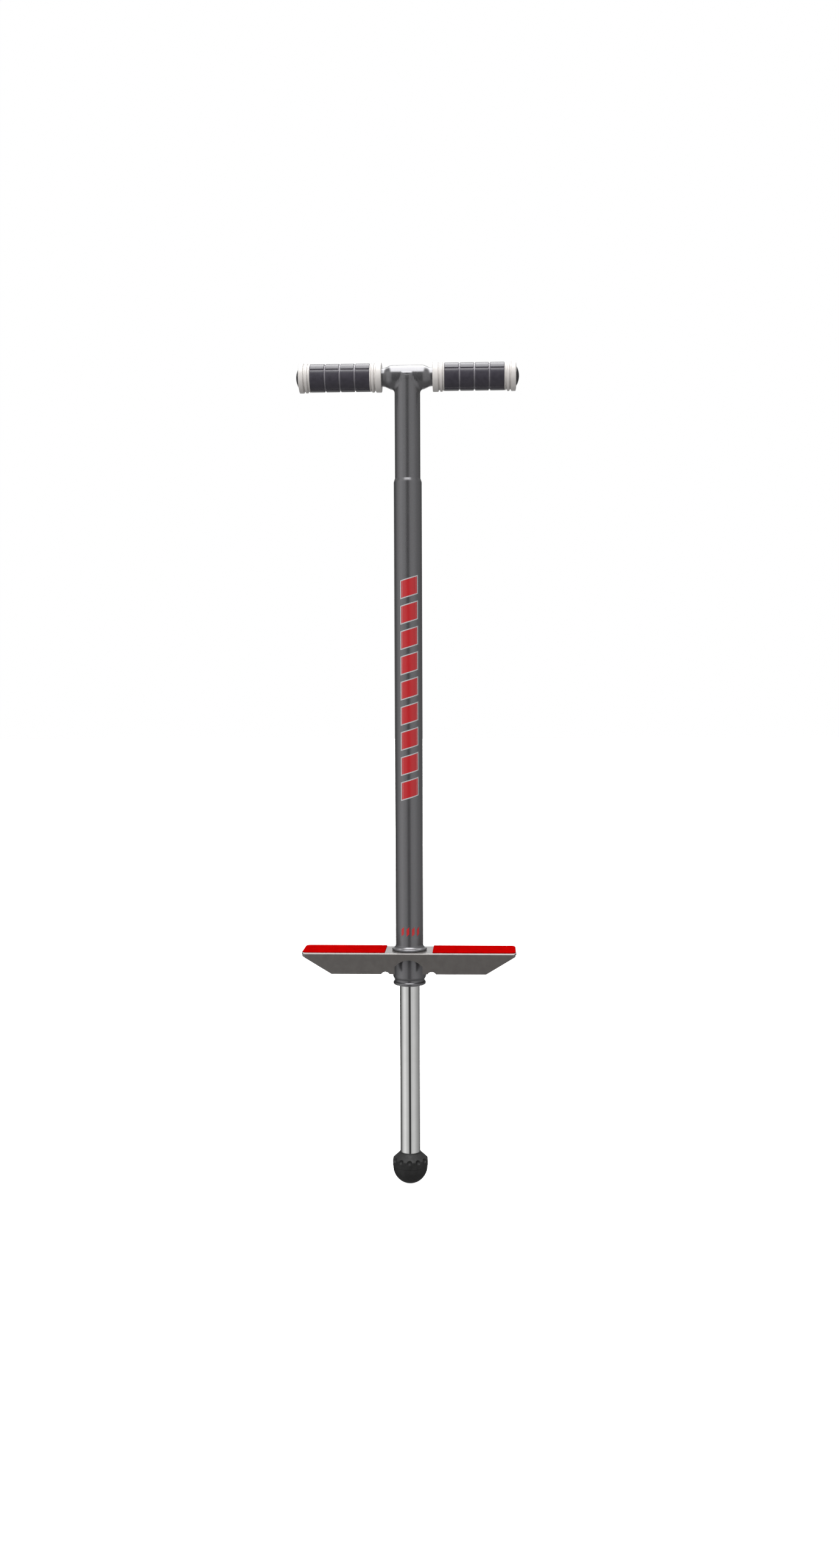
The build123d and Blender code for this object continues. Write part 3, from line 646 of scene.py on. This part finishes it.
def make_world():
    """Soft boxes left and right, a strip above, a backdrop behind; the camera itself sees plain white."""
    world = bpy.data.worlds.new("studio")
    bpy.context.scene.world = world
    world.use_nodes = True
    tree = world.node_tree
    tree.nodes.clear()

    def node(kind, **settings):
        made = tree.nodes.new(kind)
        for setting, value in settings.items():
            setattr(made, setting, value)
        return made

    def fill(socket, value):
        if isinstance(value, (int, float)):
            socket.default_value = value
        else:
            tree.links.new(value, socket)

    def calc(operation, *values):
        made = node("ShaderNodeMath", operation=operation)
        for socket, value in zip(made.inputs, values):
            fill(socket, value)
        return made.outputs[0]

    def step(value, start, end, low, high):
        """Goes smoothly from low, at start, to high, at end."""
        made = node("ShaderNodeMapRange", interpolation_type="SMOOTHSTEP")
        pairs = [(start, low), (end, high)] if start < end else [(end, high), (start, low)]
        names = (("From Min", "To Min"), ("From Max", "To Max"))
        fill(made.inputs["Value"], value)
        for (place, level), (from_name, to_name) in zip(pairs, names):
            fill(made.inputs[from_name], place)
            fill(made.inputs[to_name], level)
        return made.outputs["Result"]

    def blend(share, low, high):
        return calc("ADD", calc("MULTIPLY", low, calc("SUBTRACT", 1.0, share)), calc("MULTIPLY", high, share))

    split = node("ShaderNodeSeparateXYZ")
    tree.links.new(node("ShaderNodeTexCoord").outputs["Generated"], split.inputs[0])
    x, y, z = split.outputs
    bearing = calc("SUBTRACT", calc("ARCTAN2", x, calc("MULTIPLY", y, -1.0)), math.radians(CAMERA_AZIMUTH))
    turned = calc("FRACT", calc("ADD", calc("DIVIDE", bearing, 2 * math.pi), 1.5))
    ramp = node("ShaderNodeValToRGB")
    tree.links.new(turned, ramp.inputs[0])
    stops = ramp.color_ramp.elements
    for i, (degrees, value) in enumerate(WALLS):
        place = degrees / 360 + 0.5
        stop = stops[0] if i == 0 else stops[-1] if i == len(WALLS) - 1 else stops.new(place)
        stop.position = place
        stop.color = (value, value, value, 1)
    height = calc("MULTIPLY", calc("ARCSINE", z), 180 / math.pi)
    behind = step(y, -0.1, 0.1, 0.0, 1.0)
    over_backdrop = calc("MULTIPLY", behind, step(height, *BACKDROP_TOP, 0.0, 1.0))
    walls = blend(over_backdrop, ramp.outputs["Color"], OVERHEAD_GAP)
    low_walls = blend(step(height, *FLOOR_FROM, 0.0, 1.0), walls, FLOOR)
    strip = step(calc("ABSOLUTE", x), *STRIP_HALF, STRIP, CEILING)
    studio = blend(step(height, *CEILING_FROM, 0.0, 1.0), low_walls, strip)

    light = node("ShaderNodeBackground")
    tree.links.new(studio, light.inputs["Color"])
    white = node("ShaderNodeBackground")
    white.inputs["Color"].default_value = (1, 1, 1, 1)
    choose = node("ShaderNodeMixShader")
    tree.links.new(node("ShaderNodeLightPath").outputs["Is Camera Ray"], choose.inputs[0])
    tree.links.new(light.outputs[0], choose.inputs[1])
    tree.links.new(white.outputs[0], choose.inputs[2])
    tree.links.new(choose.outputs[0], node("ShaderNodeOutputWorld").inputs["Surface"])


def make_fill(name, place, size, power):
    """A large soft light that lights matt surfaces and leaves no mark in glossy ones."""
    light = bpy.data.lights.new(name, "AREA")
    light.shape = "SQUARE"
    light.size = size
    light.energy = power
    lamp = bpy.data.objects.new(name, light)
    bpy.context.scene.collection.objects.link(lamp)
    lamp.location = place
    lamp.rotation_euler = (Vector((0, 0, 0.55)) - Vector(place)).to_track_quat("-Z", "Y").to_euler()
    lamp.visible_glossy = False
    lamp.visible_camera = False


def make_camera():
    """A long lens a little below the handlebar, tipped down, as far off as a product is photographed."""
    camera = bpy.data.objects.new("camera", bpy.data.cameras.new("camera"))
    bpy.context.scene.collection.objects.link(camera)
    bearing = math.radians(CAMERA_AZIMUTH)
    camera.location = (CAMERA_DISTANCE * math.sin(bearing), -CAMERA_DISTANCE * math.cos(bearing), CAMERA_HEIGHT)
    tip_down, pan, roll = math.radians(TIP_DOWN), math.radians(PAN), math.radians(ROLL)
    heading = Euler((math.pi / 2 - tip_down, 0, bearing - pan), "XYZ").to_matrix()
    camera.rotation_euler = (heading @ Euler((0, 0, roll)).to_matrix()).to_euler()
    camera.data.lens = LENS
    camera.data.sensor_width = 36
    camera.data.clip_start = 0.05
    bpy.context.scene.camera = camera


MATERIALS = make_materials()
slots = {part["node"]: part["material_slot"] for part in frame["record"]["subparts"]}
for node_name, cad_object in frame["nodes"].items():
    cad_object.data.materials.clear()
    cad_object.data.materials.append(MATERIALS[slots[node_name]])

make_camera()
make_world()
make_floor()
make_fill("fill_front", (-1.2, -3.0, 1.6), 2.2, 45)
make_fill("fill_back", (1.0, 3.0, 1.6), 2.2, 30)
for pad in ("tread_pad_left", "tread_pad_right"):
    frame["nodes"][pad].visible_glossy = False  # no red patches low down on the tube
for grip_side, grip_tag in ((-1, "left"), (1, "right")):
    grip_core(grip_side, grip_tag)
    grip_sleeve(grip_side, grip_tag)
handle_weld()
foot_tip()
main_spring()
make_stickers()

bpy.context.scene.view_settings.view_transform = "Standard"
